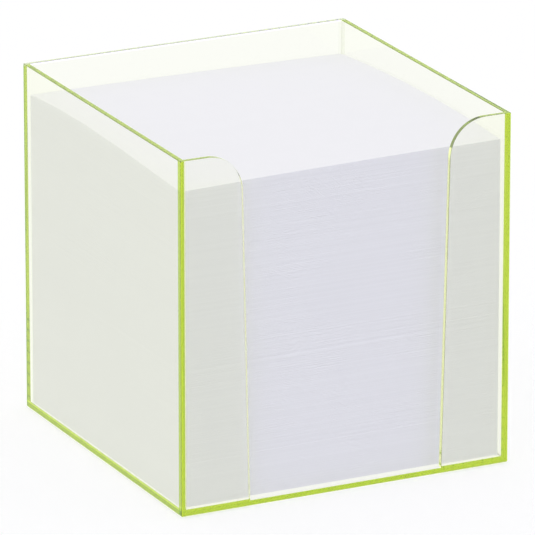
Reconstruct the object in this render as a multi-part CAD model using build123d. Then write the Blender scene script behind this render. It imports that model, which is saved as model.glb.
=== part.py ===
from build123d import *
import os

# A clear moulded memo box, open at the top, filled with loose note sheets.
# Millimetres. +Z is up, the front looks towards -Y, the origin is the middle of the underside.

# Note sheets: their cut size, how high they are stacked, and the air that lies under each
sheet_width = 90.0
sheet_depth = 90.0
stack_height = 85.4
air_between_sheets = 0.022

# The stack: lots of sheets from the floor up, with single sheets on top
sheets_per_lot = 15
lot_count = 46
single_sheet_count = 10

# Where the stack has been pushed to in the box, as shares of the room beside it
push_right = 0.4
push_back = 0.6

# Moulded box: the room that it leaves beside the sheets, before and behind them and above, and its walls
side_clearance = 0.5
end_clearance = 1.0
headroom = 8.1
floor_thickness = 1.5
wall_at_floor = 1.5
wall_at_rim = 1.4

# Moulded box: its rounded edges, outside and inside
upright_edge_radius = 0.4
base_edge_radius = 0.35
cavity_corner_radius = 0.3
cavity_floor_radius = 0.2
rim_edge_radius = 0.2

# Finger slot in the front wall: the flange that it leaves on either side, and its round shoulders
flange_at_rim = 17.3
flange_at_floor = 19.5
slot_shoulder_radius = 10.0

# How far a cutting tool runs past the face that it cuts through
overrun = 1.0

# Sizes that follow from those above
sheet_count = lot_count * sheets_per_lot + single_sheet_count
sheet_pitch = stack_height / sheet_count
sheet_thickness = sheet_pitch - air_between_sheets
stack_x = push_right * side_clearance
stack_y = push_back * end_clearance
cavity_width = sheet_width + 2 * side_clearance
cavity_depth = sheet_depth + 2 * end_clearance
box_width = cavity_width + 2 * wall_at_floor
box_depth = cavity_depth + 2 * wall_at_floor
box_height = floor_thickness + stack_height + headroom
slot_width_at_rim = box_width - 2 * flange_at_rim
slot_width_at_floor = box_width - 2 * flange_at_floor


def outer_block():
    """The outside of the box: an upright block with rounded corners and a rounded edge underneath."""
    block = extrude(RectangleRounded(box_width, box_depth, upright_edge_radius), box_height)
    return fillet(block.edges().group_by(Axis.Z)[0], base_edge_radius)


def cavity_tool():
    """The room inside the box, drafted so that its walls are thinner at the rim than at the floor."""
    room_height = box_height - floor_thickness
    tool_height = room_height + overrun
    growth = (wall_at_floor - wall_at_rim) * tool_height / room_height
    lying = Solid.make_wedge(
        cavity_width,
        tool_height,
        cavity_depth,
        -growth,
        -growth,
        cavity_width + growth,
        cavity_depth + growth,
    )
    tool = Pos(-cavity_width / 2, cavity_depth / 2, floor_thickness) * Rot(X=90) * lying
    uprights = tool.edges().filter_by(lambda edge: edge.bounding_box().size.Z > room_height)
    return fillet(uprights, cavity_corner_radius)


def slot_tool():
    """The finger slot, with leaning sides and round shoulders that run out into the rim."""
    half_floor = slot_width_at_floor / 2
    half_rim = slot_width_at_rim / 2
    half_tool = box_width / 2 + overrun
    right_side = [
        (half_floor, floor_thickness),
        (half_rim, box_height),
        (half_tool, box_height),
        (half_tool, box_height + overrun),
    ]
    left_side = [(-x, z) for x, z in reversed(right_side)]
    outline = make_face(Polyline(*right_side, *left_side, close=True))
    shoulders = outline.vertices().group_by(Axis.Y)[1].sort_by(Axis.X)[1:-1]
    outline = fillet(shoulders, slot_shoulder_radius)
    inner_reach = cavity_depth / 2 - overrun
    outer_reach = box_depth / 2 + overrun
    return extrude(Plane.XZ.offset(inner_reach) * outline, outer_reach - inner_reach)


def wall_foot_edges(shell):
    """The inner edges where the walls stand on the floor."""
    floor_face = shell.faces().sort_by_distance((0, 0, floor_thickness))[0]
    front_wall = -cavity_depth / 2 - wall_at_floor / 4
    return [edge for edge in floor_face.edges() if edge.center().Y > front_wall]


def rim_edges(shell):
    """The outer and inner edges that run along the rim, over the shoulders and down the slot."""
    wall_middle = -(cavity_depth + wall_at_floor) / 2
    open_faces = [
        face for face in shell.faces()
        if abs(face.center().Y - wall_middle) < wall_at_floor / 4 and face.center().Z > floor_thickness
    ]
    open_faces.append(shell.faces().sort_by(Axis.Z)[-1])
    edges = [edge for face in open_faces for edge in face.edges()]
    above_floor = [edge for edge in edges if edge.center().Z > floor_thickness + cavity_floor_radius]
    return [edge for edge in above_floor if sum(edge.is_same(other) for other in above_floor) == 1]


def make_moulded_box():
    """The one-piece box: floor, back wall, side walls and the two flanges beside the finger slot."""
    shell = outer_block() - cavity_tool() - slot_tool()
    shell = fillet(wall_foot_edges(shell), cavity_floor_radius)
    return fillet(rim_edges(shell), rim_edge_radius)


def make_sheet(level):
    """One note sheet, lying in the stack at a level that counts from the floor."""
    bottom = floor_thickness + air_between_sheets + level * sheet_pitch
    sheet = Box(sheet_width, sheet_depth, sheet_thickness, align=(Align.CENTER, Align.CENTER, Align.MIN))
    return Pos(stack_x, stack_y, bottom) * sheet


# Every piece by its node's name
nodes = {"moulded_box": make_moulded_box()}
for lot in range(lot_count):
    first_level = lot * sheets_per_lot
    sheets = [make_sheet(first_level + place) for place in range(sheets_per_lot)]
    nodes[f"sheet_lot_{lot + 1:02d}"] = Compound(children=sheets)
for place in range(single_sheet_count):
    nodes[f"top_sheet_{place + 1:02d}"] = make_sheet(sheet_count - 1 - place)

os.makedirs("parts", exist_ok=True)
for name, shape in nodes.items():
    export_step(shape, f"parts/{name}.step")
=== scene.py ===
import math
import random

import bmesh
import bpy
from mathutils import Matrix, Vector


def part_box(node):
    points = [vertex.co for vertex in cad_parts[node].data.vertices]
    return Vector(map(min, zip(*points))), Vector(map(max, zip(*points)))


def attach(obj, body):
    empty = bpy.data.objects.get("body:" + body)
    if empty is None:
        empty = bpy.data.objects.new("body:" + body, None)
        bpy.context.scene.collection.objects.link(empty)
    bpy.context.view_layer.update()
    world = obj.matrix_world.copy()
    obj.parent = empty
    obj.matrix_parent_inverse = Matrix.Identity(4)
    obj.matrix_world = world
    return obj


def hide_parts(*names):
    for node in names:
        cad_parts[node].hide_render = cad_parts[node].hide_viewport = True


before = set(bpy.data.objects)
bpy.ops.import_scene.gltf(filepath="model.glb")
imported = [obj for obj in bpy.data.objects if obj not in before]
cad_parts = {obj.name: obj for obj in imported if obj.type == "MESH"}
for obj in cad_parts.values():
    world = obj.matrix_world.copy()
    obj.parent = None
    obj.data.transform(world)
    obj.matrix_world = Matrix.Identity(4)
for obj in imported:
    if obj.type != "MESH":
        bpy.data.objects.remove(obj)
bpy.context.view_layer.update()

# The moulded box, as the frame gives it
box_low, box_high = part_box("moulded_box")
box_middle = (box_low + box_high) / 2

# The note sheets, as the frame gives them: single ones on top, lots under them
top_sheet_names = sorted(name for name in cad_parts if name.startswith("top_sheet"))
lot_names = sorted(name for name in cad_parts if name.startswith("sheet_lot"))
uppermost_low, uppermost_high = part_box(top_sheet_names[0])
second_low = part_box(top_sheet_names[1])[0]
stack_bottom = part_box(lot_names[0])[0].z
stack_middle = (uppermost_low + uppermost_high) / 2
sheet_thickness = uppermost_high.z - uppermost_low.z
sheet_pitch = uppermost_low.z - second_low.z
sheet_half_width = (uppermost_high.x - uppermost_low.x) / 2
sheet_half_depth = (uppermost_high.y - uppermost_low.y) / 2
sheet_count = round((uppermost_low.z - stack_bottom) / sheet_pitch) + 1

# How high the stack's corners lie, how it swells between them, and how evenly it was laid
corner_rise = {(-1, -1): -0.0007, (1, -1): 0.00055, (-1, 1): -0.0002, (1, 1): -0.0011}
crown_left = 0.0014
crown_left_lean = 0.6
crown_right = 0.0016
crown_along_width = 0.0002
lay_drift = 0.00003
lay_turn = 0.0003
sheet_stations = (0.0, 0.06, 0.2, 0.4, 0.6, 0.8, 0.94, 1.0)

# Clear lime plastic: how it bends light, and what a metre of it takes from the light
plastic_bend = 1.585
plastic_dye_colour = (0.81, 0.885, 0.0, 1.0)
plastic_dye_strength = 34.0

# Clear lime plastic: its tint on a wall, at an edge, and on a side wall beside an upright edge
wall_tint = (0.995, 1.0, 0.98, 1.0)
edge_tint = (0.92, 0.97, 0.6, 1.0)
upright_tint = (0.34, 0.6, 0.004, 1.0)

# Clear lime plastic: painted glow on its edges, by where they are, standing in for light carried along the
# walls to the edges
no_glow = (0.0, 0.0, 0.0, 1.0)
painted_shoulder_glow = (0.22, 0.28, 0.09, 1.0)
painted_upright_glow = (0.1, 0.11, 0.0, 1.0)
painted_foot_glow = (0.19, 0.23, 0.01, 1.0)
painted_back_rim_glow = (0.2, 0.15, 0.33, 1.0)
painted_side_rim_glow = (0.2, 0.27, 0.05, 1.0)

# Clear lime plastic: how far its lime zones reach; its walls are as thick as the floor under the sheets
wall_thickness = stack_bottom - box_low.z - (sheet_pitch - sheet_thickness)
upright_reach = 0.0017
shoulder_reach = 0.010

# Clear lime plastic: its back upright strips' share of the front ones', and how squarely its sides look out
back_strip_share = 0.5
squarely = (0.98, 0.85)

# Clear lime plastic: its moulded skin
ripple_scale = 45.0
ripple_depth = 0.00002
ripple_strength = 0.05
haze_scale = 220.0
wall_haze = 0.0035
scuff_scale = 1800.0
edge_scuff = 0.08
edge_satin = 0.12

# Note paper: its tones on the flat of a sheet, at a cut edge, and in its flecks; the cut edges, which are
# the stack's sides, are darker and a little lavender, partly the paper's own edge tone and partly painted
# shade
paper_tone = (0.925, 0.925, 0.93, 1.0)
paper_cloud_tone = (0.91, 0.91, 0.916, 1.0)
paper_fleck_tone = (0.9, 0.9, 0.905, 1.0)
# Cut edges, the stack's sides: darker than the flat, partly painted shade
cut_edge_tone_with_painted_shade = (0.88, 0.886, 0.914, 1.0)
cut_edge_darker_tone_with_painted_shade = (0.845, 0.851, 0.878, 1.0)

# Note paper: its fibres, its cloudy formation and its surface
fibre_scale = 2600.0
fibre_stretch = (1.0, 3.5, 3.5)
fibre_depth = 0.00001
fibre_strength = 0.3
fleck_share = 0.25
cloud_scale = 170.0
paper_roughness = 0.78
paper_roughness_spread = 0.16
paper_shine = 0.25

# The photograph's camera
camera_azimuth = math.radians(-26.32)
camera_elevation = math.radians(18.44)
camera_distance = 1.9686
camera_lens = 508.3
camera_sensor = 36.0
camera_clip = (0.1, 20.0)
aim_right = 0.00075
aim_down = 0.00145

# The studio
floor_gap = 0.0004
floor_reach = 6.0
floor_tone = (0.32, 0.32, 0.32, 1.0)
floor_lift = 0.695
studio_white = (1.0, 1.0, 1.0, 1.0)
front_light = (0.825, 0.815, 0.945, 1.0)
front_light_spread = (-0.9, 0.1)
light_bounces = 96


def join(tree, start, end):
    """Links one socket to another."""
    tree.links.new(start, end)


def feed(tree, socket, value):
    """Gives an input its value, or links it when the value is another node's output."""
    if isinstance(value, bpy.types.NodeSocket):
        join(tree, value, socket)
    else:
        socket.default_value = value


def place(tree, kind, x, y, **inputs):
    """Adds a node of that kind at a place in the tree and feeds the inputs given by name."""
    node = tree.nodes.new(kind)
    node.location = (x, y)
    for name, value in inputs.items():
        feed(tree, node.inputs[name.replace("_", " ")], value)
    return node


def calc(tree, operation, x, y, *values):
    """One step of arithmetic on values or sockets."""
    node = place(tree, "ShaderNodeMath", x, y)
    node.operation = operation
    for socket, value in zip(node.inputs, values):
        feed(tree, socket, value)
    return node.outputs[0]


def fade(tree, x, y, value, near, far):
    """One up to the near value, nought from the far value on, and smooth between them."""
    node = place(
        tree, "ShaderNodeMapRange", x, y, Value=value, From_Min=near, From_Max=far, To_Min=1.0, To_Max=0.0
    )
    node.interpolation_type = "SMOOTHSTEP"
    return node.outputs[0]


def blend(tree, x, y, share, first, second):
    """Goes from the first colour to the second by a share."""
    node = place(tree, "ShaderNodeMix", x, y)
    node.data_type = "RGBA"
    feed(tree, node.inputs[0], share)
    feed(tree, node.inputs[6], first)
    feed(tree, node.inputs[7], second)
    return node.outputs[2]


def split(tree, x, y, vector):
    """The three parts of a vector."""
    node = place(tree, "ShaderNodeSeparateXYZ", x, y)
    join(tree, vector, node.inputs[0])
    return node.outputs


def noise(tree, x, y, point, scale, detail):
    """Smooth noise of that scale, with so much finer detail in it."""
    return place(tree, "ShaderNodeTexNoise", x, y, Vector=point, Scale=scale, Detail=detail).outputs[0]


def new_group(name, inputs, outputs):
    """An empty shader group with named sockets: its tree, what it is given and what it results in."""
    tree = bpy.data.node_groups.new(name, "ShaderNodeTree")
    for socket, kind in inputs.items():
        tree.interface.new_socket(socket, in_out="INPUT", socket_type=f"NodeSocket{kind}")
    for socket, kind in outputs.items():
        tree.interface.new_socket(socket, in_out="OUTPUT", socket_type=f"NodeSocket{kind}")
    given = place(tree, "NodeGroupInput", -1500, 0)
    result = place(tree, "NodeGroupOutput", 1000, 0)
    return tree, given.outputs, result.inputs


def use_group(tree, group, x, y, **inputs):
    """Puts a group into a material and feeds its named inputs."""
    node = place(tree, "ShaderNodeGroup", x, y)
    node.node_tree = group
    for name, value in inputs.items():
        feed(tree, node.inputs[name], value)
    return node.outputs


def lime_edges_group():
    """Where the lime shows on the box, as tint and as painted glow: upright edges, base, rims and the
    finger slot's round shoulders.
    """
    tree, given, result = new_group(
        "lime_edges",
        {"Point": "Vector", "Facing": "Vector"},
        {"Tint": "Color", "Glow": "Color", "Edge": "Float", "Handled": "Float"},
    )
    x, y, z = split(tree, -1300, 100, given["Point"])
    sideways, endways, upward = (
        calc(tree, "ABSOLUTE", -1100, -300 - 100 * n, part)
        for n, part in enumerate(split(tree, -1300, -300, given["Facing"]))
    )
    from_side = calc(tree, "SUBTRACT", -1000, 300, box_high.x, calc(tree, "ABSOLUTE", -1150, 300, x))
    from_front = calc(tree, "SUBTRACT", -1000, 200, y, box_low.y)
    from_back = calc(tree, "SUBTRACT", -1000, 100, box_high.y, y)
    from_base = calc(tree, "SUBTRACT", -1000, 0, z, box_low.z)
    from_rim = calc(tree, "SUBTRACT", -1000, -100, box_high.z, z)
    from_back_strip = calc(tree, "DIVIDE", -900, 100, from_back, back_strip_share)
    from_ends = calc(tree, "MINIMUM", -800, 150, from_front, from_back_strip)

    # Upright edges: a rounded zone on both faces that meet there; the rounding itself gets a painted glow
    across = calc(tree, "POWER", -600, 450, calc(tree, "DIVIDE", -800, 450, from_side, wall_thickness), 2.0)
    along = calc(tree, "POWER", -600, 350, calc(tree, "DIVIDE", -800, 350, from_ends, upright_reach), 2.0)
    upright = fade(tree, -200, 400, calc(tree, "ADD", -400, 400, across, along), 0.88, 1.0)
    on_side_face = fade(tree, -400, 550, sideways, *squarely)
    beside_upright = calc(tree, "MULTIPLY", 0, 550, upright, on_side_face)
    off_side = fade(tree, -400, 650, sideways, 0.9, 0.98)
    off_end = fade(tree, -400, 750, sideways, 0.25, 0.1)
    on_round = calc(tree, "MULTIPLY", -200, 700, off_side, off_end)
    upright_round = calc(tree, "MULTIPLY", 0, 700, upright, on_round)

    # Base: a band as high as the floor is thick
    outermost = calc(tree, "MINIMUM", -600, 200, from_side, from_ends)
    outer_skin = fade(tree, -400, 200, outermost, wall_thickness * 0.8, wall_thickness * 0.95)
    near_base = fade(tree, -400, 50, from_base, wall_thickness * 0.9, wall_thickness)
    base = calc(tree, "MULTIPLY", -200, 100, outer_skin, near_base)

    # Foot of a side wall: a line just above the base, where the wall stands on the floor; a painted glow
    # lightens the dark line that shows there
    above_floor = fade(tree, -400, -50, from_base, wall_thickness * 1.06, wall_thickness * 1.02)
    below_sheets = fade(tree, -400, -100, from_base, wall_thickness * 1.22, wall_thickness * 1.32)
    on_side = calc(tree, "MULTIPLY", -200, 0, outer_skin, on_side_face)
    foot_line = calc(tree, "MULTIPLY", -200, -100, above_floor, below_sheets)
    foot = calc(tree, "MULTIPLY", 0, 0, on_side, foot_line)

    # Finger slot: the faces between the outside and the inside of the front wall; their round shoulders
    # under the rim get a painted glow
    behind_front = fade(tree, -600, -200, from_front, wall_thickness * 0.15, wall_thickness * 0.05)
    before_inside = fade(tree, -600, -300, from_front, wall_thickness * 0.85, wall_thickness * 0.95)
    off_corner = fade(tree, -600, -400, from_side, wall_thickness * 2.2, wall_thickness * 2.0)
    above_base = fade(tree, -600, -500, from_base, wall_thickness * 1.2, wall_thickness * 1.1)
    in_wall = calc(tree, "MULTIPLY", -400, -250, behind_front, before_inside)
    in_slot = calc(tree, "MULTIPLY", -400, -450, off_corner, above_base)
    slot = calc(tree, "MULTIPLY", -200, -300, in_wall, in_slot)
    near_rim = fade(tree, -600, -600, from_rim, shoulder_reach * 0.8, shoulder_reach * 1.1)
    under_rim = fade(tree, -600, -700, from_rim, shoulder_reach * 0.15, shoulder_reach * 0.03)
    on_shoulder = calc(tree, "MULTIPLY", -400, -650, near_rim, under_rim)
    shoulder = calc(tree, "MULTIPLY", 0, -400, slot, on_shoulder)

    # Rim of the back wall: a painted glow makes it show paler than the others
    in_back_wall = fade(tree, -600, -800, from_back, wall_thickness * 0.95, wall_thickness * 1.1)
    on_rim = fade(tree, -600, -900, from_rim, wall_thickness * 0.2, wall_thickness * 0.3)
    back_rim = calc(tree, "MULTIPLY", -400, -850, in_back_wall, on_rim)

    # Edges that hands touch, for scuffs: every rounded edge above the base; among them those of a side
    # wall's rim get a painted glow
    level = calc(tree, "MAXIMUM", -200, -700, sideways, endways)
    straightest = calc(tree, "MAXIMUM", 0, -700, level, upward)
    on_arris = fade(tree, 200, -700, straightest, 0.93, 0.985)
    in_side_wall = fade(tree, -600, -1000, from_side, wall_thickness * 0.95, wall_thickness * 1.1)
    on_side_rim = calc(tree, "MULTIPLY", -400, -950, on_rim, in_side_wall)
    side_rim = calc(tree, "MULTIPLY", 400, -800, on_arris, on_side_rim)

    edge = calc(tree, "MAXIMUM", 0, 200, upright, base)
    join(tree, edge, result["Edge"])
    tint = blend(tree, 400, 200, edge, wall_tint, edge_tint)
    join(tree, blend(tree, 700, 200, beside_upright, tint, upright_tint), result["Tint"])
    # Painted glow on the outer edges, zone by zone
    glow = blend(tree, 400, -200, shoulder, no_glow, painted_shoulder_glow)
    glow = blend(tree, 500, -200, foot, glow, painted_foot_glow)
    glow = blend(tree, 600, -200, back_rim, glow, painted_back_rim_glow)
    glow = blend(tree, 650, -200, side_rim, glow, painted_side_rim_glow)
    join(tree, blend(tree, 700, -200, upright_round, glow, painted_upright_glow), result["Glow"])
    join(tree, calc(tree, "MULTIPLY", 700, -500, on_arris, above_base), result["Handled"])
    return tree


def moulded_skin_group():
    """The skin that a mould leaves: a faint ripple, a breath of haze, and scuffs on handled edges."""
    tree, given, result = new_group(
        "moulded_skin",
        {"Point": "Vector", "Handled": "Float"},
        {"Roughness": "Float", "Height": "Float"},
    )
    ripple = noise(tree, -900, 200, given["Point"], ripple_scale, 1.0)
    haze = noise(tree, -900, -100, given["Point"], haze_scale, 3.0)
    scuff = noise(tree, -900, -400, given["Point"], scuff_scale, 2.0)
    soft = calc(tree, "MULTIPLY", -400, -100, fade(tree, -600, -100, haze, 0.75, 0.45), wall_haze)
    worn = calc(tree, "MULTIPLY", -400, -400, fade(tree, -600, -400, scuff, 0.75, 0.6), edge_scuff)
    scuffed = calc(tree, "MULTIPLY", -200, -300, worn, given["Handled"])
    join(tree, calc(tree, "ADD", 0, -200, soft, scuffed), result["Roughness"])
    join(tree, ripple, result["Height"])
    return tree


def fibre_grain_group():
    """Uncoated paper: its fibres, its cloudy formation, and the tone of each sheet's cut edge, which is
    darker than the flat partly by painted shade.
    """
    tree, given, result = new_group(
        "fibre_grain",
        {"Point": "Vector", "Facing": "Vector"},
        {"Tone": "Color", "Roughness": "Float", "Height": "Float"},
    )
    stretch = place(tree, "ShaderNodeMapping", -1100, 300, Vector=given["Point"], Scale=fibre_stretch)
    fibres = noise(tree, -900, 300, stretch.outputs[0], fibre_scale, 4.0)
    clouds = noise(tree, -900, 0, given["Point"], cloud_scale, 2.0)
    level = calc(tree, "DIVIDE", -900, -300, split(tree, -1100, -300, given["Point"])[2], sheet_pitch)
    sheet_tone = place(tree, "ShaderNodeTexWhiteNoise", -400, -300)
    sheet_tone.noise_dimensions = "1D"
    join(tree, calc(tree, "FLOOR", -600, -300, level), sheet_tone.inputs["W"])
    upward = calc(tree, "ABSOLUTE", -900, -500, split(tree, -1100, -500, given["Facing"])[2])
    at_cut_edge = fade(tree, -600, -500, upward, 0.3, 0.7)

    flat = blend(tree, 0, 200, clouds, paper_cloud_tone, paper_tone)
    # Cut edges, the stack's sides: a darker tone, partly painted shade, that differs at random from sheet
    # to sheet
    cut = blend(tree, 0, -200, sheet_tone.outputs[0], cut_edge_darker_tone_with_painted_shade, cut_edge_tone_with_painted_shade)
    tone = blend(tree, 300, 0, at_cut_edge, flat, cut)
    fleck = calc(tree, "MULTIPLY", 300, 300, fade(tree, 0, 400, fibres, 0.75, 0.5), fleck_share)
    join(tree, blend(tree, 600, 0, fleck, tone, paper_fleck_tone), result["Tone"])
    roughness = calc(tree, "MULTIPLY_ADD", 600, -200, fibres, paper_roughness_spread, paper_roughness)
    join(tree, roughness, result["Roughness"])
    join(tree, fibres, result["Height"])
    return tree


def new_material(name):
    """An empty material: itself, its tree, its shader, its output, and its surface coordinates."""
    material = bpy.data.materials.new(name)
    material.use_nodes = True
    tree = material.node_tree
    tree.nodes.clear()
    output = place(tree, "ShaderNodeOutputMaterial", 900, 0)
    shader = place(tree, "ShaderNodeBsdfPrincipled", 600, 0)
    join(tree, shader.outputs["BSDF"], output.inputs["Surface"])
    return material, tree, shader, output, place(tree, "ShaderNodeTexCoord", -600, 0).outputs


def relief(tree, shader, height, distance, strength):
    """Bumps a shader's surface by a height."""
    bump = place(tree, "ShaderNodeBump", 300, -400, Strength=strength, Distance=distance, Height=height)
    join(tree, bump.outputs[0], shader.inputs["Normal"])


def clear_lime_plastic():
    """Glossy clear plastic with a lime dye that shows where light runs along a wall to an edge, and a
    painted glow on its outer edges.
    """
    material, tree, shader, output, where = new_material("clear_lime_plastic")
    shader.inputs["Transmission Weight"].default_value = 1.0
    shader.inputs["IOR"].default_value = plastic_bend
    edges = use_group(tree, lime_edges_group(), -300, 0, Point=where["Object"], Facing=where["Normal"])
    skin = use_group(tree, moulded_skin_group(), 0, -300, Point=where["Object"], Handled=edges["Handled"])
    from_inside = place(tree, "ShaderNodeNewGeometry", -300, 300).outputs["Backfacing"]
    join(tree, blend(tree, 300, 200, from_inside, edges["Tint"], wall_tint), shader.inputs["Base Color"])
    # Painted glow from the edge zones, only where the plastic is seen from outside
    join(tree, blend(tree, 300, 0, from_inside, edges["Glow"], no_glow), shader.inputs["Emission Color"])
    shader.inputs["Emission Strength"].default_value = 1.0
    from_outside = calc(tree, "SUBTRACT", -100, 400, 1.0, from_inside)
    outer_edge = calc(tree, "MULTIPLY", 100, 400, edges["Edge"], from_outside)
    roughness = calc(tree, "MULTIPLY_ADD", 300, -200, outer_edge, edge_satin, skin["Roughness"])
    join(tree, roughness, shader.inputs["Roughness"])
    relief(tree, shader, skin["Height"], ripple_depth, ripple_strength)
    dye = place(tree, "ShaderNodeVolumeAbsorption", 600, -500, Color=plastic_dye_colour)
    dye.inputs["Density"].default_value = plastic_dye_strength
    join(tree, dye.outputs["Volume"], output.inputs["Volume"])
    return material


def note_paper():
    """Uncoated white note paper, a little lavender and darker at its cut edges, the stack's sides, partly
    its own edge tone and partly painted shade.
    """
    material, tree, shader, _, where = new_material("note_paper")
    grain = use_group(tree, fibre_grain_group(), -300, 0, Point=where["Object"], Facing=where["Normal"])
    join(tree, grain["Tone"], shader.inputs["Base Color"])
    join(tree, grain["Roughness"], shader.inputs["Roughness"])
    shader.inputs["Specular IOR Level"].default_value = paper_shine
    relief(tree, shader, grain["Height"], fibre_depth, fibre_strength)
    return material


def swell(across, along):
    """How far the top of the stack stands above its flat height, with a sheet's edges at -1 and 1."""
    corners = sum(
        rise * (1 + across * side) * (1 + along * end) / 4 for (side, end), rise in corner_rise.items()
    )
    left_crown = crown_left * (1 + crown_left_lean * along) * (1 - across) / 2
    right_crown = crown_right * (1 + across) / 2
    return corners + (left_crown + right_crown) * (1 - along ** 2) + crown_along_width * (1 - across ** 2)


def sheets(name, levels, material):
    """A mesh of note sheets at those levels, each a thin closed sheet that follows the stack's swell."""
    dice = random.Random(name)
    shape = bmesh.new()
    grid = len(sheet_stations)
    last = grid - 1
    upper = grid * grid
    for level in levels:
        share = level / (sheet_count - 1)
        middle_x = stack_middle.x + dice.uniform(-lay_drift, lay_drift)
        middle_y = stack_middle.y + dice.uniform(-lay_drift, lay_drift)
        turn = dice.uniform(-lay_turn, lay_turn)
        base = stack_bottom + level * sheet_pitch
        rows = []
        for side in range(2):
            for across in sheet_stations:
                for along in sheet_stations:
                    x = (2 * across - 1) * sheet_half_width
                    y = (2 * along - 1) * sheet_half_depth
                    z = base + side * sheet_thickness + share * swell(2 * across - 1, 2 * along - 1)
                    rows.append(shape.verts.new((middle_x + x - turn * y, middle_y + y + turn * x, z)))
        for i in range(last):
            for j in range(last):
                a, b = i * grid + j, (i + 1) * grid + j
                face = shape.faces.new([rows[upper + k] for k in (a, b, b + 1, a + 1)])
                face.smooth = True
                face = shape.faces.new([rows[k] for k in (a, a + 1, b + 1, b)])
                face.smooth = True
        ring = [(i, 0) for i in range(last)] + [(last, j) for j in range(last)]
        ring += [(last - i, last) for i in range(last)] + [(0, last - j) for j in range(last)]
        for here, there in zip(ring, ring[1:] + ring[:1]):
            a = here[0] * grid + here[1]
            b = there[0] * grid + there[1]
            shape.faces.new([rows[k] for k in (a, b, upper + b, upper + a)])
    shape.normal_update()
    for edge in shape.edges:
        edge.smooth = all(face.smooth for face in edge.link_faces)
    mesh = bpy.data.meshes.new(name)
    shape.to_mesh(mesh)
    shape.free()
    mesh.materials.append(material)
    piece = bpy.data.objects.new(name, mesh)
    bpy.context.scene.collection.objects.link(piece)
    return piece


def seen_through_plastic(tree):
    """One for a ray that shows the studio in or through plastic, and nought for one that gathers light."""
    path = place(tree, "ShaderNodeLightPath", -1100, 300).outputs
    either = calc(tree, "MAXIMUM", -900, 300, path["Is Glossy Ray"], path["Is Transmission Ray"])
    first = calc(tree, "LESS_THAN", -900, 100, path["Diffuse Depth"], 0.5)
    return calc(tree, "MULTIPLY", -700, 200, either, first)


def studio_floor():
    """A pale floor that shows white where nothing shades it."""
    shape = bmesh.new()
    bmesh.ops.create_grid(shape, x_segments=1, y_segments=1, size=floor_reach)
    mesh = bpy.data.meshes.new("studio_floor")
    shape.to_mesh(mesh)
    shape.free()
    floor = bpy.data.objects.new("studio_floor", mesh)
    floor.location.z = box_low.z - floor_gap
    bpy.context.scene.collection.objects.link(floor)
    material = bpy.data.materials.new("studio_floor")
    material.use_nodes = True
    tree = material.node_tree
    tree.nodes.clear()
    output = place(tree, "ShaderNodeOutputMaterial", 600, 0)
    matt = place(tree, "ShaderNodeBsdfDiffuse", -300, 100, Color=floor_tone)
    lift = place(tree, "ShaderNodeEmission", -300, -100, Color=studio_white, Strength=floor_lift)
    both = place(tree, "ShaderNodeAddShader", 0, 0)
    white = place(tree, "ShaderNodeEmission", 0, -200, Color=studio_white, Strength=1.0)
    pick = place(tree, "ShaderNodeMixShader", 300, 0)
    join(tree, matt.outputs[0], both.inputs[0])
    join(tree, lift.outputs[0], both.inputs[1])
    join(tree, place(tree, "ShaderNodeLightPath", 0, 300).outputs["Is Camera Ray"], pick.inputs[0])
    join(tree, white.outputs[0], pick.inputs[1])
    join(tree, both.outputs[0], pick.inputs[2])
    join(tree, pick.outputs[0], output.inputs["Surface"])
    mesh.materials.append(material)


def studio_light():
    """Soft white light from all round, a little dimmer and cooler from the front."""
    world = bpy.data.worlds.new("studio")
    bpy.context.scene.world = world
    world.use_nodes = True
    tree = world.node_tree
    tree.nodes.clear()
    output = place(tree, "ShaderNodeOutputWorld", 600, 0)
    way_y = split(tree, -700, -200, place(tree, "ShaderNodeTexCoord", -900, -200).outputs["Generated"])[1]
    from_front = fade(tree, -500, -200, way_y, *front_light_spread)
    straight = place(tree, "ShaderNodeLightPath", -900, 0).outputs["Is Camera Ray"]
    shown = calc(tree, "MAXIMUM", -500, 100, seen_through_plastic(tree), straight)
    gathered = calc(tree, "SUBTRACT", -350, 0, 1.0, shown)
    colour = blend(
        tree, 0, 0, calc(tree, "MULTIPLY", -200, -100, from_front, gathered), studio_white, front_light
    )
    glow = place(tree, "ShaderNodeBackground", 300, 0, Color=colour, Strength=1.0)
    join(tree, glow.outputs[0], output.inputs["Surface"])


def studio_camera():
    """The camera of the photograph."""
    camera = bpy.data.cameras.new("studio_camera")
    camera.lens = camera_lens
    camera.sensor_width = camera_sensor
    camera.clip_start, camera.clip_end = camera_clip
    holder = bpy.data.objects.new("studio_camera", camera)
    bpy.context.scene.collection.objects.link(holder)
    back = Vector((
        math.sin(camera_azimuth) * math.cos(camera_elevation),
        -math.cos(camera_azimuth) * math.cos(camera_elevation),
        math.sin(camera_elevation),
    ))
    right = Vector((math.cos(camera_azimuth), math.sin(camera_azimuth), 0))
    aim = box_middle + right * aim_right - back.cross(right) * aim_down
    holder.location = aim + back * camera_distance
    holder.rotation_mode = "QUATERNION"
    holder.rotation_quaternion = (-back).to_track_quat("-Z", "Y")
    bpy.context.scene.camera = holder


scene = bpy.context.scene
scene.view_settings.view_transform = "Standard"
scene.cycles.max_bounces = light_bounces
scene.cycles.transmission_bounces = light_bounces
scene.cycles.glossy_bounces = light_bounces
scene.cycles.blur_glossy = 0.0

paper = note_paper()
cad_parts["moulded_box"].data.materials[0] = clear_lime_plastic()

stack = sheets("note_stack", range(sheet_count - len(top_sheet_names)), paper)
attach(stack, "note_stack")
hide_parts(*lot_names)
for place_from_top, name in enumerate(top_sheet_names):
    single = sheets(f"note_{name}", [sheet_count - 1 - place_from_top], paper)
    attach(single, name)
    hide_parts(name)

studio_floor()
studio_light()
studio_camera()
